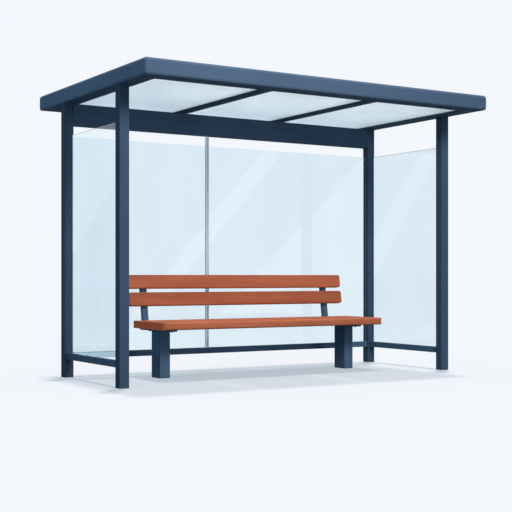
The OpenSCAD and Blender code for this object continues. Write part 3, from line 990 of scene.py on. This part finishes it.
class SHELTER_OT_stage(bpy.types.Operator):
    """Pale floor, soft studio light and the camera"""

    bl_idname = "shelter.stage"
    bl_label = "Studio stage"

    def execute(self, context):
        scene = context.scene
        stage = scene.shelter_stage
        scene.view_settings.view_transform = "Standard"
        self.world(scene, stage)
        floor = self.floor(stage)
        self.lamps(scene, stage, floor)
        self.camera(scene, stage)
        return {"FINISHED"}

    def seen(self, start):
        """1 for what the camera sees, straight or through the glass."""
        camera = start.node("ShaderNodeLightPath", out="Is Camera Ray")
        through = start.node("ShaderNodeLightPath", out="Is Transmission Ray")
        return camera.most(through)

    def world(self, scene, stage):
        world = bpy.data.worlds.new("studio")
        world.use_nodes = True
        world.node_tree.nodes.clear()
        start = Wire(world.node_tree)
        colour = self.seen(start).mix((*stage.ambient, 1.0), (*stage.backdrop, 1.0))
        background = start.node("ShaderNodeBackground", {}, {"Color": colour, "Strength": 1.0})
        start.node("ShaderNodeOutputWorld", {}, {"Surface": background})
        scene.world = world

    def floor(self, stage):
        deselect()
        bpy.ops.mesh.primitive_plane_add(size=FLOOR_SIZE)
        floor = bpy.context.object
        floor.name = "floor"
        finish = Finish("pale_floor")
        seen = self.seen(finish.start)
        glow, pale = [], []
        for part, share, light in zip(stage.backdrop, stage.floor_glow, stage.ambient):
            glow.append(part * share)
            pale.append(part * (1.0 - share) / (stage.overhead + light))
        colour = seen.mix(shade(stage.ambient, FLOOR_BOUNCE), (*pale, 1.0))
        matt = finish.start.node("ShaderNodeBsdfDiffuse", {}, {"Color": colour})
        shine = finish.start.node("ShaderNodeEmission", {}, {"Color": (*glow, 1.0), "Strength": seen})
        both = finish.start.node("ShaderNodeAddShader", {}, {0: matt, 1: shine})
        floor.data.materials.append(finish.done(both))
        return floor

    def lamp(self, scene, name, kind, place, target, energy):
        data = bpy.data.lights.new(name, kind)
        data.energy = energy
        lamp = bpy.data.objects.new(name, data)
        lamp.location = place
        lamp.rotation_euler = (Vector(target) - Vector(place)).to_track_quat("-Z", "Y").to_euler()
        lamp.visible_camera = False
        lamp.visible_transmission = False
        scene.collection.objects.link(lamp)
        return lamp

    def area_lamp(self, scene, name, placing, energy):
        """A flat lamp: its place, the point that it faces, its length and its width."""
        place, target, length, width = placing
        lamp = self.lamp(scene, name, "AREA", place, target, energy)
        lamp.data.shape = "RECTANGLE"
        lamp.data.size = length
        lamp.data.size_y = width
        return lamp

    def lamps(self, scene, stage, floor):
        """The lamps, each kept to the pieces that it is for."""
        panes = nodes(PANES)
        sun = self.lamp(scene, "overhead", "SUN", OVERHEAD_FROM, ORIGIN, 1.0)
        sun.data.energy = stage.overhead * math.pi / OVERHEAD_FROM.normalized().z
        sun.data.angle = OVERHEAD_ANGLE
        self.pass_by(sun, nodes((*FASCIAS, *RAFTERS, *BEADS)))
        key = self.area_lamp(scene, "key", KEY_LAMP, stage.key)
        fill = self.area_lamp(scene, "low_fill", FILL_LAMP, stage.fill)
        fill.data.spread = FILL_SPREAD
        self.keep_from(key, [floor, *panes, *nodes(("header_back",))])
        self.keep_from(fill, [floor, *panes])
        for name, way in FAR_SIDES_FROM:
            soft = self.lamp(scene, name, "SUN", way, ORIGIN, stage.far_sides * math.pi)
            soft.data.angle = FAR_SIDES_ANGLE
            soft.visible_glossy = False
            self.keep_from(soft, [floor, *panes, *nodes(PANELS)])
        side = self.area_lamp(scene, "side", SIDE_LAMP, stage.side)
        side.data.color = stage.ambient
        self.keep_to(side, nodes(FASCIAS))
        low_side = self.area_lamp(scene, "low_side", LOW_SIDE_LAMP, stage.low_side)
        low_side.data.color = stage.ambient
        self.keep_to(low_side, nodes(BENCH))
        bar_side = self.lamp(scene, "bar_side", "SUN", BAR_SIDE_FROM, ORIGIN, stage.bar_side * math.pi)
        self.keep_to(bar_side, nodes(("glazing_bar", BAR_GASKET)))
        bar_side.light_linking.blocker_collection = bar_side.light_linking.receiver_collection
        for streak in STREAKS:
            self.streak_lamp(scene, stage, *streak)

    def streak_lamp(self, scene, stage, name, centre, turn, length, width, level, colour, facing, panes):
        """A strip that only these panes mirror."""
        power = level * stage.streak * math.pi * length * width
        strip = self.area_lamp(scene, name, (centre, centre, length, width), power)
        turn = math.radians(turn)
        along = Vector((math.cos(turn), 0, math.sin(turn)))
        across = Vector((-along.z, 0, along.x)) * facing
        strip.matrix_world = corner(centre, along, across, Vector((0, -facing, 0)))
        strip.data.color = colour
        strip.visible_diffuse = False
        self.keep_to(strip, nodes(panes))

    def keep_to(self, lamp, objects):
        """Keeps a lamp's light to these objects."""
        lamp.light_linking.receiver_collection = bpy.data.collections.new(lamp.name + "_only")
        for thing in objects:
            lamp.light_linking.receiver_collection.objects.link(thing)

    def keep_from(self, lamp, objects):
        """Keeps a lamp's light from these objects."""
        lamp.light_linking.receiver_collection = self.apart(lamp.name + "_apart", objects)

    def pass_by(self, lamp, objects):
        """Lets a lamp's light past these objects without a shadow."""
        lamp.light_linking.blocker_collection = self.apart(lamp.name + "_past", objects)

    def apart(self, name, objects):
        """A collection of objects that a lamp leaves out."""
        group = bpy.data.collections.new(name)
        for thing in objects:
            group.objects.link(thing)
        for link in group.collection_objects:
            link.light_linking.link_state = "EXCLUDE"
        return group

    def camera(self, scene, stage):
        data = bpy.data.cameras.new("camera")
        data.sensor_width = SENSOR
        data.lens = stage.focal_pixels / PICTURE * data.sensor_width
        data.shift_y = (stage.horizon - PICTURE / 2) / PICTURE
        data.clip_end = FAR_CLIP
        camera = bpy.data.objects.new("camera", data)
        camera.location = stage.camera_place
        camera.rotation_euler = (math.pi / 2, 0, -stage.camera_turn)
        scene.collection.objects.link(camera)
        scene.camera = camera


class SHELTER_PT_panel(bpy.types.Panel):
    """Finishes, fittings and stage of the shelter"""

    bl_label = "Bus Shelter"
    bl_idname = "SHELTER_PT_panel"
    bl_space_type = "VIEW_3D"
    bl_region_type = "UI"
    bl_category = "Shelter"

    def draw(self, context):
        for operator in OPERATORS:
            self.layout.operator(operator.bl_idname)
        scene = context.scene
        for group in (scene.shelter_finish, scene.shelter_fittings, scene.shelter_stage):
            box = self.layout.box()
            for name in group.bl_rna.properties.keys():
                if name not in ("rna_type", "name"):
                    box.prop(group, name)


OPERATORS = (
    SHELTER_OT_frame_paint,
    SHELTER_OT_glazing,
    SHELTER_OT_roof_panels,
    SHELTER_OT_bench,
    SHELTER_OT_bench_bolts,
    SHELTER_OT_bead_screws,
    SHELTER_OT_welds,
    SHELTER_OT_stage,
)
CLASSES = (ShelterFinish, ShelterFittings, ShelterStage, *OPERATORS, SHELTER_PT_panel)


def register():
    for group in CLASSES:
        bpy.utils.register_class(group)
    bpy.types.Scene.shelter_finish = PointerProperty(type=ShelterFinish)
    bpy.types.Scene.shelter_fittings = PointerProperty(type=ShelterFittings)
    bpy.types.Scene.shelter_stage = PointerProperty(type=ShelterStage)


def unregister():
    del bpy.types.Scene.shelter_stage
    del bpy.types.Scene.shelter_fittings
    del bpy.types.Scene.shelter_finish
    for group in reversed(CLASSES):
        bpy.utils.unregister_class(group)


def main():
    register()
    bpy.ops.shelter.frame_paint()
    bpy.ops.shelter.glazing()
    bpy.ops.shelter.roof_panels()
    bpy.ops.shelter.bench()
    bpy.ops.shelter.bench_bolts()
    bpy.ops.shelter.bead_screws()
    bpy.ops.shelter.welds()
    bpy.ops.shelter.stage()


if __name__ == "__main__":
    main()
